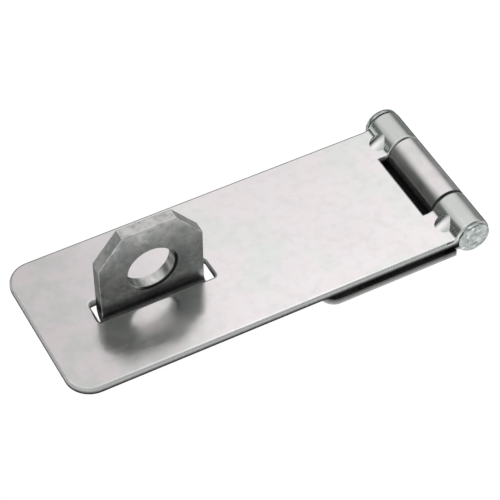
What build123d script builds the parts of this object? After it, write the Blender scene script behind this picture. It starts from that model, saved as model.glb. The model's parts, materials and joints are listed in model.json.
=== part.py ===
from build123d import *
import os
from math import acos, asin, cos, degrees, radians, sin, sqrt

os.makedirs("parts", exist_ok=True)

# Hasp and staple, closed. Origin at the middle of the mounting plane under the whole object,
# +X from the staple end to the hinge, +Z away from the door. Millimetres and degrees.

# Driving dimensions
length = 100.0
width = 39.0
sheet = 1.6
leaf_gap = 1.75
edge_roll = 0.72

# Hinge
knuckle_radius = 4.28
middle_knuckle = 18.4
middle_knuckle_y = 0.45
seam = 0.3
pin_clearance = 0.05
root_radius = 1.8
flap_curl_end = -150.0
leaf_curl_end = 208.0
notch_start = 39.3

# Pin heads: formed at the far end, peened at the near end
formed_radius = 4.15
formed_height = 1.4
formed_edge = 0.9
peened_radius = 3.85
peened_height = 0.7
peened_edge = 0.4
dimple_radius = 1.9
dimple_depth = 0.14

# Stiffening beads
bead_width = 7.4
bead_height = 1.15
bead_depth = 1.45
bead_slope = 35.0
bead_sink = 0.05
bead_foot = 0.25
bead_y = 14.2

# Flap
corner_radius = 5.75
slot_length = 27.6
slot_width = 5.8
slot_centre = (-23.3, -0.65)
slot_corner = 0.8

# Hinge leaf
leaf_free_end = 9.2
leaf_hinge_end = 41.8
leaf_corner = 3.3
leaf_holes_x = 25.5
leaf_hole_spacing = (17.0, 24.0)
screw_radius = 2.1
leaf_sink_radius = 3.1

# Staple
staple_plate = 3.0
lug_width = 24.4
lug_x = -23.6
lug_near_face = -1.55
lug_top = 25.2
lug_corner = (5.8, 7.2)
lug_edge = 0.2
shackle_radius = 5.5
shackle_height = 12.85
shackle_edge = 0.5
bend_inside = 1.0
foot_end = -15.0
foot_corner = 3.0
foot_hole_spacing = 13.0
foot_hole_y = -9.3
foot_sink_radius = 3.9

# Derived places. The leaf lies flat under the pin, so the knuckles touch the mounting plane.
free_end = -length / 2
axis_x = length / 2 - knuckle_radius
axis_height = knuckle_radius
knuckle_centre = (axis_x, axis_height)
flap_bottom = sheet + leaf_gap
flap_top = flap_bottom + sheet
bore_radius = knuckle_radius - sheet
pin_radius = bore_radius - pin_clearance

# The flap leaves its plane through a concave root that meets the knuckle's outside circle.
# The two circles touch on the line between their centres.
root_height = flap_top + root_radius
centre_distance = knuckle_radius + root_radius
root_drop = degrees(acos(sqrt(centre_distance**2 - (root_height - axis_height) ** 2) / centre_distance))
root_x = axis_x - centre_distance * cos(radians(root_drop))
root_centre = (root_x, root_height)
root_sweep = 90 - root_drop
flap_curl_start = 180 - root_drop
flap_curl_sweep = flap_curl_end - flap_curl_start

# The bead's section swells and fades through arcs of one radius, each a quarter of the bead wide
bead_arc = ((bead_width / 2) ** 2 + bead_height**2) / (4 * bead_height)
bead_swell = degrees(asin(bead_width / 4 / bead_arc))

# The staple's bend keeps its plate's thickness all the way round
bend_outside = bend_inside + staple_plate
bend_centre = (lug_near_face - bend_inside, bend_outside)
lug_far_face = lug_near_face + staple_plate


def on_circle(centre, radius, angle):
    return (centre[0] + radius * cos(radians(angle)), centre[1] + radius * sin(radians(angle)))


with BuildPart() as hasp_flap:
    with BuildSketch(Plane.XY.offset(flap_bottom)):
        with Locations(((free_end + root_x) / 2, 0)):
            plate_outline = Rectangle(root_x - free_end, width)
        fillet(plate_outline.vertices().sort_by(Axis.X)[:2], corner_radius)
        with Locations(slot_centre):
            RectangleRounded(slot_length, slot_width, slot_corner, mode=Mode.SUBTRACT)
    extrude(amount=sheet)
    # Both outer knuckles in one: up the root, over the pin and back under it
    with BuildSketch(Plane.XZ):
        with BuildLine():
            Line((root_x, flap_bottom), (root_x, flap_top))
            CenterArc(root_centre, root_radius, -90, root_sweep)
            CenterArc(knuckle_centre, knuckle_radius, flap_curl_start, flap_curl_sweep)
            Line(
                on_circle(knuckle_centre, knuckle_radius, flap_curl_end),
                on_circle(knuckle_centre, bore_radius, flap_curl_end),
            )
            CenterArc(knuckle_centre, bore_radius, flap_curl_start, flap_curl_sweep)
            CenterArc(root_centre, root_radius + sheet, -90, root_sweep)
        make_face()
    extrude(amount=width / 2, both=True)
    # Notch for the middle knuckle
    with BuildSketch(Plane.XY):
        with Locations(((notch_start + length / 2) / 2, middle_knuckle_y)):
            Rectangle(length / 2 - notch_start, middle_knuckle + 2 * seam)
    extrude(amount=2 * knuckle_radius, mode=Mode.SUBTRACT)
    # Punching rolls the upper rim of the plate and of the slot over; the knuckles' outer ends too
    upper_rim = hasp_flap.edges().filter_by_position(Axis.Z, flap_top, flap_top)
    fillet(upper_rim.filter_by_position(Axis.X, free_end, root_x, (True, False)), edge_roll)
    # One pressed bead stiffens the root of each outer knuckle. Its crest leaves the knuckle's
    # outside and runs down to the plate.
    crest_top = on_circle(knuckle_centre, knuckle_radius - bead_sink, 90 + bead_slope)
    crest_length = (crest_top[1] - flap_top + bead_foot) / sin(radians(bead_slope))
    for side in (-1, 1):
        bead_plane = Plane(
            origin=(crest_top[0], side * bead_y, crest_top[1]),
            x_dir=(0, 1, 0),
            z_dir=(-cos(radians(bead_slope)), 0, -sin(radians(bead_slope))),
        )
        with BuildSketch(bead_plane):
            with BuildLine():
                CenterArc((0, bead_arc), bead_arc, -90, bead_swell)
                CenterArc((bead_width / 2, bead_height - bead_arc), bead_arc, 90, bead_swell)
                Polyline((bead_width / 2, bead_height), (bead_width / 2, bead_depth), (0, bead_depth))
                mirror(about=Plane.YZ)
            make_face()
        extrude(amount=crest_length)
hasp_flap.part.label = "hasp_flap"
export_step(hasp_flap.part, "parts/hasp_flap.step")

with BuildPart() as hinge_leaf:
    with BuildSketch():
        with Locations(((leaf_free_end + leaf_hinge_end) / 2, 0)):
            leaf_outline = Rectangle(leaf_hinge_end - leaf_free_end, width)
        fillet(leaf_outline.vertices().sort_by(Axis.X)[:2], leaf_corner)
    extrude(amount=sheet)
    # Middle knuckle: flat under the pin, up behind it and over the top
    with BuildSketch(Plane.XZ.offset(-middle_knuckle_y)):
        with BuildLine():
            Polyline((axis_x, 0), (leaf_hinge_end, 0), (leaf_hinge_end, sheet), (axis_x, sheet))
            CenterArc(knuckle_centre, bore_radius, -90, leaf_curl_end + 90)
            Line(
                on_circle(knuckle_centre, bore_radius, leaf_curl_end),
                on_circle(knuckle_centre, knuckle_radius, leaf_curl_end),
            )
            CenterArc(knuckle_centre, knuckle_radius, -90, leaf_curl_end + 90)
        make_face()
    extrude(amount=middle_knuckle / 2, both=True)
    with Locations(Plane.XY.offset(sheet)):
        with Locations((leaf_holes_x, 0)):
            with GridLocations(*leaf_hole_spacing, 2, 2):
                CounterSinkHole(screw_radius, leaf_sink_radius, depth=sheet, counter_sink_angle=90)
hinge_leaf.part.label = "hinge_leaf"
export_step(hinge_leaf.part, "parts/hinge_leaf.step")

# Turned profile of the pin in the plane of its axis. The peening punch leaves a shallow
# flat-bottomed dimple in the near head.
with BuildPart() as hinge_pin:
    formed_top = width / 2 + formed_height
    peened_top = -width / 2 - peened_height
    with BuildSketch(Plane.XY.offset(axis_height)):
        with BuildLine():
            CenterArc((axis_x + formed_radius - formed_edge, formed_top - formed_edge), formed_edge, 0, 90)
            Polyline(
                (axis_x + formed_radius - formed_edge, formed_top),
                (axis_x, formed_top),
                (axis_x, peened_top + dimple_depth),
                (axis_x + dimple_radius - dimple_depth, peened_top + dimple_depth),
                (axis_x + dimple_radius, peened_top),
                (axis_x + peened_radius - peened_edge, peened_top),
            )
            CenterArc((axis_x + peened_radius - peened_edge, peened_top + peened_edge), peened_edge, -90, 90)
            Polyline(
                (axis_x + peened_radius, peened_top + peened_edge),
                (axis_x + peened_radius, -width / 2),
                (axis_x + pin_radius, -width / 2),
                (axis_x + pin_radius, width / 2),
                (axis_x + formed_radius, width / 2),
                (axis_x + formed_radius, formed_top - formed_edge),
            )
        make_face()
    revolve(axis=Axis((axis_x, 0, axis_height), (0, 1, 0)))
hinge_pin.part.label = "hinge_pin"
export_step(hinge_pin.part, "parts/hinge_pin.step")

# One plate bent into an L: the lug stands up through the slot and the foot lies under the flap
with BuildPart() as staple:
    with BuildSketch(Plane.YZ.offset(lug_x)):
        with BuildLine():
            Polyline(
                (lug_near_face, bend_outside),
                (lug_near_face, lug_top),
                (lug_far_face, lug_top),
                (lug_far_face, bend_outside),
            )
            CenterArc(bend_centre, bend_outside, 0, -90)
            Polyline(
                (bend_centre[0], 0),
                (foot_end, 0),
                (foot_end, staple_plate),
                (bend_centre[0], staple_plate),
            )
            CenterArc(bend_centre, bend_inside, -90, 90)
        make_face()
    extrude(amount=lug_width / 2, both=True)
    # Sloping top corners
    with BuildSketch(Plane.XZ.offset(-lug_far_face)):
        with BuildLine():
            Polyline(
                (lug_x + lug_width / 2, lug_top - lug_corner[1]),
                (lug_x + lug_width / 2, lug_top),
                (lug_x + lug_width / 2 - lug_corner[0], lug_top),
                close=True,
            )
        make_face()
        mirror(about=Plane.YZ.offset(lug_x))
    extrude(amount=staple_plate, mode=Mode.SUBTRACT)
    # Padlock hole, rounded where the punch went in
    with Locations(Plane(origin=(lug_x, lug_near_face, shackle_height), z_dir=(0, -1, 0))):
        Hole(shackle_radius, depth=staple_plate)
    shackle_rims = staple.edges().filter_by(GeomType.CIRCLE).group_by(SortBy.RADIUS)[-1]
    fillet(shackle_rims.sort_by(Axis.Y)[0], shackle_edge)
    # Foot, with its screws hidden by the closed flap
    fillet(staple.edges().filter_by(Axis.Z).group_by(Axis.Y)[0], foot_corner)
    with Locations(Plane.XY.offset(staple_plate)):
        with Locations((lug_x, foot_hole_y)):
            with GridLocations(foot_hole_spacing, 0, 2, 1):
                CounterSinkHole(screw_radius, foot_sink_radius, depth=staple_plate, counter_sink_angle=90)
    lug_rim = staple.edges().filter_by_position(Axis.Z, flap_top + 1, lug_top)
    fillet(lug_rim.filter_by(GeomType.LINE), lug_edge)
staple.part.label = "staple"
export_step(staple.part, "parts/staple.step")
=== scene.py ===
import bpy
import json
import math
from mathutils import Matrix, Vector


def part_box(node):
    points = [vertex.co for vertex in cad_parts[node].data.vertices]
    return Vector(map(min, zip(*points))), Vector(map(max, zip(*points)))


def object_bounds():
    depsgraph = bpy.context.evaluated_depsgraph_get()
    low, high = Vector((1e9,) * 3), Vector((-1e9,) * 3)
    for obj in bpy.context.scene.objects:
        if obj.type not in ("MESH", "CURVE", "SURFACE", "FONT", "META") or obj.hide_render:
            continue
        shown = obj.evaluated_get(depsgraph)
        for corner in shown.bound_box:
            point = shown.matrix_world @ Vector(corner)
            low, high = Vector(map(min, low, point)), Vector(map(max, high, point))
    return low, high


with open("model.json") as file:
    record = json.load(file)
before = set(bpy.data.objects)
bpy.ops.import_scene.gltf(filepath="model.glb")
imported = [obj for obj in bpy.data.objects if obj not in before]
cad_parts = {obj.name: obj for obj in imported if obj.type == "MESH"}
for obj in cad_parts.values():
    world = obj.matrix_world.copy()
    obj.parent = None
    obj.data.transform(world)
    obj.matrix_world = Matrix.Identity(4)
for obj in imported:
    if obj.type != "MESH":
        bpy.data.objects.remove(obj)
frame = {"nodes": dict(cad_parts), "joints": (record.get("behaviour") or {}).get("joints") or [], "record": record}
cad_low, cad_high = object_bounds()
MM = 0.001

# Heights and places on the object that the materials follow
FLAP_UNDER, FLAP_TOP = 3.35 * MM, 4.95 * MM
LEAF_UNDER, LEAF_TOP = 0.0, 1.6 * MM
FLAP_CURL_START = 39.2 * MM
LEAF_CURL_START = 41.5 * MM
HINGE_AXIS = Vector(frame["joints"][0]["pos_m"])
SHACKLE = next(mount for mount in frame["record"]["mounts"] if mount["name"] == "shackle_hole")
SHACKLE_HOLE = Vector(SHACKLE["pos_m"])
SHACKLE_RADIUS = SHACKLE["dims"]["r_mm"] * MM


def rgb(red, green, blue):
    return (red, green, blue, 1.0)


def grey(value):
    return rgb(value, value, value)


# ---------------------------------------------------------------- node graphs


class Graph:
    """Shorthand for building one node tree."""

    def __init__(self, tree):
        self.tree = tree
        self.tree.nodes.clear()
        self.coords = self.add("ShaderNodeTexCoord")

    def add(self, kind):
        return self.tree.nodes.new(kind)

    def link(self, source, target):
        self.tree.links.new(source, target)

    def put(self, value, socket):
        """Sets a socket to a number or colour, or links an output to it."""
        if isinstance(value, bpy.types.NodeSocket):
            self.link(value, socket)
        else:
            socket.default_value = value

    def math(self, operation, a, b=0.0, c=0.0, clamp=False):
        node = self.add("ShaderNodeMath")
        node.operation = operation
        node.use_clamp = clamp
        for value, socket in zip((a, b, c), node.inputs):
            self.put(value, socket)
        return node.outputs[0]

    def step(self, value, low, high, to_low=0.0, to_high=1.0):
        """A smooth step of value from low..high to to_low..to_high."""
        node = self.add("ShaderNodeMapRange")
        node.interpolation_type = "SMOOTHSTEP"
        for item, socket in zip((value, low, high, to_low, to_high), node.inputs):
            self.put(item, socket)
        return node.outputs[0]

    def mix(self, factor, a, b):
        node = self.add("ShaderNodeMix")
        node.data_type = "RGBA"
        self.put(factor, node.inputs["Factor"])
        # Sockets 6 and 7 are the colour pair, and output 2 is the colour result
        self.put(a, node.inputs[6])
        self.put(b, node.inputs[7])
        return node.outputs[2]

    def axis(self, source, name):
        """One coordinate, X, Y or Z, of a texture coordinate."""
        node = self.add("ShaderNodeSeparateXYZ")
        self.link(self.coords.outputs[source], node.inputs[0])
        return node.outputs[name]

    def inside(self, source, name, low, high, blur):
        """1 where one coordinate lies in low..high, and 0 past blur outside it."""
        value = self.axis(source, name)
        above_low = self.step(value, low - blur, low)
        below_high = self.step(value, high, high + blur, 1.0, 0.0)
        return self.math("MULTIPLY", above_low, below_high)

    def noise(self, size_mm, detail=3.0, roughness=0.55, stretch=(1.0, 1.0, 1.0), seed=0.0):
        """Noise in object space. stretch below 1 along an axis draws it out into streaks."""
        place = self.add("ShaderNodeMapping")
        self.link(self.coords.outputs["Object"], place.inputs["Vector"])
        place.inputs["Scale"].default_value = stretch
        node = self.add("ShaderNodeTexNoise")
        node.noise_dimensions = "4D"
        self.link(place.outputs[0], node.inputs["Vector"])
        node.inputs["W"].default_value = seed
        node.inputs["Scale"].default_value = 1.0 / (size_mm * MM)
        node.inputs["Detail"].default_value = detail
        node.inputs["Roughness"].default_value = roughness
        return node.outputs["Fac"]

    def bump(self, height, distance_mm, strength, normal=None):
        node = self.add("ShaderNodeBump")
        node.inputs["Strength"].default_value = strength
        node.inputs["Distance"].default_value = distance_mm * MM
        self.link(height, node.inputs["Height"])
        if normal is not None:
            self.link(normal, node.inputs["Normal"])
        return node.outputs[0]


class Surface(Graph):
    """The node tree of a new material with one principled shader."""

    def __init__(self, name):
        self.material = bpy.data.materials.new(name)
        self.material.use_nodes = True
        super().__init__(self.material.node_tree)
        output = self.add("ShaderNodeOutputMaterial")
        self.shader = self.add("ShaderNodeBsdfPrincipled")
        self.link(self.shader.outputs["BSDF"], output.inputs["Surface"])


class Zinc(Surface):
    """Zinc plating over steel."""

    def __init__(self, name, warm, cool, drift_mm, roughness, edge_tint):
        super().__init__(name)
        self.shader.inputs["Metallic"].default_value = 1.0
        self.shader.inputs["Specular Tint"].default_value = grey(edge_tint)
        # Two tints drift across the plating, and its shine comes and goes
        self.colour = self.mix(self.step(self.noise(drift_mm, 2.0), 0.44, 0.74), warm, cool)
        low, high = roughness
        self.rough = self.step(self.noise(6.0, 3.0, 0.6, seed=11.0), 0.3, 0.7, low, high)

    def region(self, mask, colour, extra_roughness):
        """A different colour and shine where mask is 1."""
        self.colour = self.mix(mask, self.colour, colour)
        self.rough = self.math("MULTIPLY_ADD", mask, extra_roughness, self.rough, clamp=True)

    def spangle(self, size_mm, dark, strength):
        """Cloudy crystals a few millimetres across, darker and duller than the rest."""
        cloud = self.step(self.noise(size_mm, 4.0, 0.62, seed=3.0), 0.42, 0.70, 0.0, strength)
        self.colour = self.mix(cloud, self.colour, dark)
        self.rough = self.math("MULTIPLY_ADD", cloud, 0.08, self.rough)

    def sheared(self, curl_start, under, top, lower, upper):
        """Sheared edges on the flat's rim and on the side faces of the knuckles.

        lower is the edge's colour at the underside and upper is its colour at the top. A streaky
        line parts them. The change from lower to upper is painted light and shade, standing in for
        how the edge catches the light.
        """
        steep = self.inside("Normal", "Z", -0.78, 0.78, 0.19)
        on_flat = self.step(self.axis("Object", "X"), curl_start - 0.2 * MM, curl_start, 1.0, 0.0)
        rim = self.math("MULTIPLY", steep, on_flat)
        sides = self.step(self.math("ABSOLUTE", self.axis("Normal", "Y")), 0.90, 0.97)
        torn = self.noise(0.35, 3.0, 0.6, stretch=(1.0, 1.0, 0.12), seed=17.0)
        height = self.math("MULTIPLY_ADD", torn, 0.3 * MM, self.axis("Object", "Z"))
        towards_top = self.step(height, under + 0.3 * MM, top + 0.1 * MM)
        self.region(self.math("MAXIMUM", rim, sides), self.mix(towards_top, lower, upper), 0.42)

    def shade_barrel_far_side(self):
        """Painted shade: the side of the barrel that faces away from the flap is painted darker and duller."""
        start, full = HINGE_AXIS.x + 1.0 * MM, HINGE_AXIS.x + 3.6 * MM
        outer = self.step(self.axis("Object", "X"), start, full, 0.0, 0.75)
        self.region(outer, rgb(0.36, 0.37, 0.36), 0.05)

    def finish(self, waves_mm, pits_mm, grain_mm, grain_stretch=(0.08, 1.0, 1.0)):
        """Slow waves in the sheet, small pits in the plating, and the grain left by rolling."""
        grain = self.noise(0.9, 2.0, 0.5, stretch=grain_stretch, seed=7.0)
        grain_shine = self.math("SUBTRACT", grain, 0.5)
        rough = self.math("MULTIPLY_ADD", grain_shine, 0.06, self.rough, clamp=True)
        normal = self.bump(self.noise(13.0, 1.5, 0.4, seed=23.0), waves_mm, 1.0)
        normal = self.bump(self.noise(0.55, 2.0, 0.5, seed=29.0), pits_mm, 0.5, normal)
        normal = self.bump(grain, grain_mm, 0.5, normal)
        self.put(self.colour, self.shader.inputs["Base Color"])
        self.put(rough, self.shader.inputs["Roughness"])
        self.put(normal, self.shader.inputs["Normal"])
        return self.material


# ---------------------------------------------------------------- materials of the pieces


def flap_zinc():
    warm, cool = rgb(0.88, 0.845, 0.855), rgb(0.81, 0.85, 0.83)
    zinc = Zinc("flap_zinc", warm, cool, drift_mm=11.0, roughness=(0.15, 0.22), edge_tint=0.10)
    zinc.spangle(2.6, rgb(0.70, 0.70, 0.69), 0.30)
    # Painted shade: the staple end is painted darker and duller, with mottling, standing in for the dimmer
    # reflection there
    painted_dim_end = zinc.step(zinc.axis("Object", "X"), -48.0 * MM, -4.0 * MM, 0.85, 0.0)
    stains = zinc.step(zinc.noise(5.0, 3.0, 0.6, seed=47.0), 0.40, 0.62)
    dim_end_colour = zinc.mix(stains, rgb(0.62, 0.585, 0.595), rgb(0.535, 0.55, 0.54))
    zinc.region(painted_dim_end, dim_end_colour, 0.02)
    # Painted shade: the underside is painted dark and made rougher, so the gap above the leaf reads dark
    faces_down = zinc.step(zinc.axis("Normal", "Z"), -0.9, -0.6, 1.0, 0.0)
    not_barrel = zinc.step(zinc.axis("Object", "Z"), FLAP_UNDER - 0.5 * MM, FLAP_UNDER - 0.1 * MM)
    zinc.region(zinc.math("MULTIPLY", faces_down, not_barrel), rgb(0.40, 0.40, 0.39), 0.12)
    # The knuckles are satin, and a little greener
    satin_start, satin_full = FLAP_CURL_START + 1.0 * MM, FLAP_CURL_START + 4.0 * MM
    curled = zinc.step(zinc.axis("Object", "X"), satin_start, satin_full, 0.0, 0.8)
    zinc.region(curled, rgb(0.62, 0.645, 0.62), 0.17)
    # Painted shade on the barrel's far side
    zinc.shade_barrel_far_side()
    # Painted light: a painted highlight along the top of the flap's edges and painted shade at their bottom
    zinc.sheared(FLAP_CURL_START, FLAP_UNDER, FLAP_TOP, lower=grey(0.04), upper=rgb(0.78, 0.77, 0.77))
    return zinc.finish(waves_mm=0.05, pits_mm=0.006, grain_mm=0.003)


def leaf_zinc():
    warm, cool = rgb(0.83, 0.79, 0.80), rgb(0.75, 0.77, 0.755)
    zinc = Zinc("leaf_zinc", warm, cool, drift_mm=10.0, roughness=(0.28, 0.38), edge_tint=0.10)
    zinc.spangle(2.6, rgb(0.66, 0.66, 0.65), 0.35)
    # Painted shade: the flat of the leaf, which lies in the shade under the flap, is painted dark and made duller
    # than its knuckle
    knuckle = zinc.step(zinc.axis("Object", "X"), LEAF_CURL_START - 2.5 * MM, LEAF_CURL_START)
    high = zinc.step(zinc.axis("Object", "Z"), 2.5 * MM, 6.0 * MM)
    painted_shade_flat = zinc.math("SUBTRACT", 1.0, zinc.math("MULTIPLY", knuckle, high))
    zinc.region(painted_shade_flat, rgb(0.21, 0.21, 0.205), 0.12)
    # Painted shade: the side of the knuckle in the flap's notch is painted darker
    in_notch, past_notch = HINGE_AXIS.x - 3.9 * MM, HINGE_AXIS.x - 1.3 * MM
    notch_shade = zinc.step(zinc.axis("Object", "X"), in_notch, past_notch, 0.75, 0.0)
    zinc.region(zinc.math("MULTIPLY", notch_shade, knuckle), rgb(0.26, 0.255, 0.25), 0.06)
    # Painted shade: near black in the crevice where the sheet starts to curl
    past_flat = zinc.step(zinc.axis("Object", "X"), 37.5 * MM, 39.5 * MM)
    crevice_shade = zinc.step(zinc.axis("Object", "Z"), 2.5 * MM, 5.2 * MM, 0.92, 0.0)
    zinc.region(zinc.math("MULTIPLY", past_flat, crevice_shade), grey(0.02), 0.2)
    # Painted shade on the barrel's far side
    zinc.shade_barrel_far_side()
    # Painted light: the leaf's edges are painted light at the bottom and dark at the top
    zinc.sheared(LEAF_CURL_START, LEAF_UNDER, LEAF_TOP, lower=rgb(0.66, 0.66, 0.65), upper=grey(0.24))
    return zinc.finish(waves_mm=0.05, pits_mm=0.006, grain_mm=0.003)


def staple_zinc():
    warm, cool = rgb(0.66, 0.65, 0.64), rgb(0.50, 0.54, 0.52)
    zinc = Zinc("staple_zinc", warm, cool, drift_mm=4.0, roughness=(0.30, 0.42), edge_tint=0.15)
    zinc.spangle(1.6, rgb(0.34, 0.35, 0.345), 0.8)
    # A few bright scuffs
    scuffs = zinc.step(zinc.noise(2.4, 2.0, 0.5, seed=41.0), 0.60, 0.74, 0.0, 0.7)
    zinc.region(scuffs, rgb(0.86, 0.87, 0.86), -0.05)
    # Painted shade: the foot, under the flap, is painted darker and duller than the lug
    foot_shade = zinc.step(zinc.axis("Object", "Y"), -5.5 * MM, -4.0 * MM, 0.8, 0.0)
    zinc.region(foot_shade, rgb(0.30, 0.30, 0.295), 0.08)
    # Painted shade: the bend below the flap top is painted near black, and the lug's narrow sides are painted dark
    # just above the flap
    height = zinc.axis("Object", "Z")
    past_foot = zinc.step(zinc.axis("Object", "Y"), -4.6 * MM, -3.4 * MM)
    below_flap = zinc.step(height, FLAP_TOP - 1.4 * MM, FLAP_TOP - 0.2 * MM, 0.88, 0.0)
    bend_shade = zinc.math("MULTIPLY", past_foot, below_flap)
    sides = zinc.step(zinc.math("ABSOLUTE", zinc.axis("Normal", "X")), 0.8, 0.95)
    near_flap = zinc.step(height, FLAP_TOP + 0.8 * MM, FLAP_TOP + 3.6 * MM, 0.97, 0.0)
    side_shade = zinc.math("MULTIPLY", sides, near_flap)
    zinc.region(zinc.math("MAXIMUM", bend_shade, side_shade), grey(0.06), 0.15)
    # Painted shade: a near-black ring round the lower, hinge-side part of the hole's rim
    across = zinc.math("SUBTRACT", zinc.axis("Object", "X"), SHACKLE_HOLE.x)
    above = zinc.math("SUBTRACT", zinc.axis("Object", "Z"), SHACKLE_HOLE.z)
    squares = zinc.math("MULTIPLY_ADD", across, across, zinc.math("MULTIPLY", above, above))
    radius = zinc.math("SQRT", squares)
    outside_hole = zinc.step(radius, SHACKLE_RADIUS, SHACKLE_RADIUS + 0.08 * MM)
    near_hole = zinc.step(radius, SHACKLE_RADIUS + 0.50 * MM, SHACKLE_RADIUS + 0.85 * MM, 1.0, 0.0)
    hole_rim_shade = zinc.math("MULTIPLY", outside_hole, near_hole)
    downwards = zinc.math("MULTIPLY_ADD", across, 0.9, zinc.math("MULTIPLY", above, -1.0))
    lower = zinc.step(downwards, 0.0, 4.0 * MM)
    zinc.region(zinc.math("MULTIPLY", hole_rim_shade, lower), grey(0.03), 0.1)
    return zinc.finish(waves_mm=0.03, pits_mm=0.02, grain_mm=0.001, grain_stretch=(0.5, 0.5, 0.5))


def pin_zinc():
    warm, cool = rgb(0.60, 0.63, 0.615), rgb(0.36, 0.42, 0.40)
    zinc = Zinc("pin_zinc", warm, cool, drift_mm=2.4, roughness=(0.28, 0.42), edge_tint=0.15)
    zinc.spangle(1.3, rgb(0.20, 0.24, 0.23), 0.75)
    # Painted highlights: bright patches standing in for glints off hammered facets
    facet_glints = zinc.step(zinc.noise(1.5, 1.0, 0.5, seed=43.0), 0.54, 0.66, 0.0, 0.85)
    zinc.region(facet_glints, rgb(0.90, 0.93, 0.92), -0.06)
    return zinc.finish(waves_mm=0.04, pits_mm=0.04, grain_mm=0.0)


for node, material, slot in (
    ("hasp_flap", flap_zinc(), "flap_zinc"),
    ("hinge_leaf", leaf_zinc(), "leaf_zinc"),
    ("hinge_pin", pin_zinc(), "pin_zinc"),
    ("staple", staple_zinc(), "staple_zinc"),
):
    piece = frame["nodes"][node]
    piece.data.materials.clear()
    piece.data.materials.append(material)

# ---------------------------------------------------------------- camera

AZIMUTH, ELEVATION, ROLL = math.radians(-27.795), math.radians(48.2), math.radians(-0.31)
TARGET = Vector((0.38, -0.51, 4.95)) * MM
DISTANCE = 451.9 * MM
LENS_MM, SENSOR_MM = 149.3, 36.0

to_camera = Vector((
    math.sin(AZIMUTH) * math.cos(ELEVATION),
    -math.cos(AZIMUTH) * math.cos(ELEVATION),
    math.sin(ELEVATION),
))
level = Vector((math.cos(AZIMUTH), math.sin(AZIMUTH), 0.0))
right = math.cos(ROLL) * level + math.sin(ROLL) * to_camera.cross(level)
up = to_camera.cross(right)
camera_data = bpy.data.cameras.new("camera")
camera_data.sensor_width = SENSOR_MM
camera_data.lens = LENS_MM
camera_data.clip_start = 0.02
camera_data.clip_end = 20.0
camera = bpy.data.objects.new("camera", camera_data)
turn = Matrix((right, up, to_camera)).transposed().to_4x4()
camera.matrix_world = Matrix.Translation(TARGET + to_camera * DISTANCE) @ turn
bpy.context.scene.collection.objects.link(camera)
bpy.context.scene.camera = camera
bpy.context.scene.view_settings.view_transform = "Standard"

# ---------------------------------------------------------------- floor

# A sheet of white paper that glows evenly, with a painted shadow: the glow is cut out in a box right under the
# hinge's knuckles
FLOOR_SIZE = 8.0
PAPER_GLOW = 0.97

bpy.ops.mesh.primitive_plane_add(size=FLOOR_SIZE, location=(0, 0, cad_low.z))
floor = bpy.context.object
floor.name = "floor"
leaf_low, leaf_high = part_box("hinge_leaf")
paper = Surface("paper")
under_knuckles = paper.inside("Object", "X", leaf_high.x - 8 * MM, leaf_high.x - 3 * MM, MM)
under_leaf = paper.inside("Object", "Y", leaf_low.y + 2 * MM, leaf_high.y - 2 * MM, MM)
painted_floor_shadow = paper.math("MULTIPLY", under_knuckles, under_leaf)
glow = paper.math("MULTIPLY_ADD", painted_floor_shadow, -PAPER_GLOW, PAPER_GLOW)
paper.shader.inputs["Specular IOR Level"].default_value = 0.0
paper.shader.inputs["Base Color"].default_value = grey(0.10)
paper.shader.inputs["Emission Color"].default_value = grey(1.0)
paper.put(glow, paper.shader.inputs["Emission Strength"])
floor.data.materials.append(paper.material)

# ---------------------------------------------------------------- light

# One large soft light overhead
LIGHT_SIZE = 1.0
LIGHT_POWER = 2.2

light_data = bpy.data.lights.new("overhead", "AREA")
light_data.shape = "RECTANGLE"
light_data.size, light_data.size_y = LIGHT_SIZE, LIGHT_SIZE
light_data.energy = LIGHT_POWER
light = bpy.data.objects.new("overhead", light_data)
light.location = (-0.05, -0.05, 1.0)
bpy.context.scene.collection.objects.link(light)

# The studio around it, which the metal mirrors: a bright wall and ceiling that start some way up
# behind the object, a dimmer wall in front, and a black card that hangs behind the camera. The
# ceiling is dimmer where the overhead light hangs.
CARD = Vector((0.31, -0.59, 0.745)).normalized()
FRONT_WALL = 0.58
SHADE = 0.055
SHADE_TINT, WALL_TINT = rgb(0.80, 1.0, 0.91), rgb(1.0, 0.975, 0.98)

world = bpy.data.worlds.new("studio")
bpy.context.scene.world = world
world.use_nodes = True
sky = Graph(world.node_tree)
x, y, z = (sky.axis("Generated", name) for name in "XYZ")
wall = sky.step(sky.math("MULTIPLY_ADD", x, 0.08, z), 0.30, 0.60)
behind = sky.step(y, -0.48, 0.20)
fading_back = sky.step(y, 0.53, 0.65, 1.02, 0.74)
under_light = sky.step(z, 0.84, 0.95, 1.0, 0.25)
lit = sky.math("MULTIPLY", sky.math("MULTIPLY", wall, behind), under_light)
towards_card = sky.math("MULTIPLY", z, CARD.z)
towards_card = sky.math("MULTIPLY_ADD", y, CARD.y, towards_card)
towards_card = sky.math("MULTIPLY_ADD", x, CARD.x, towards_card)
off_card = sky.step(towards_card, 0.76, 0.92, 1.0, 0.0)
front = sky.math("MULTIPLY", sky.step(y, -0.40, 0.10, FRONT_WALL, 0.0), off_card)
front = sky.math("MULTIPLY", front, under_light)
tint = sky.mix(sky.math("ADD", lit, front, clamp=True), SHADE_TINT, WALL_TINT)
base_level = sky.math("ADD", front, SHADE)
background = sky.add("ShaderNodeBackground")
sky.put(tint, background.inputs["Color"])
sky.put(sky.math("MULTIPLY_ADD", lit, fading_back, base_level), background.inputs["Strength"])
sky.link(background.outputs[0], sky.add("ShaderNodeOutputWorld").inputs[0])

bpy.context.view_layer.update()
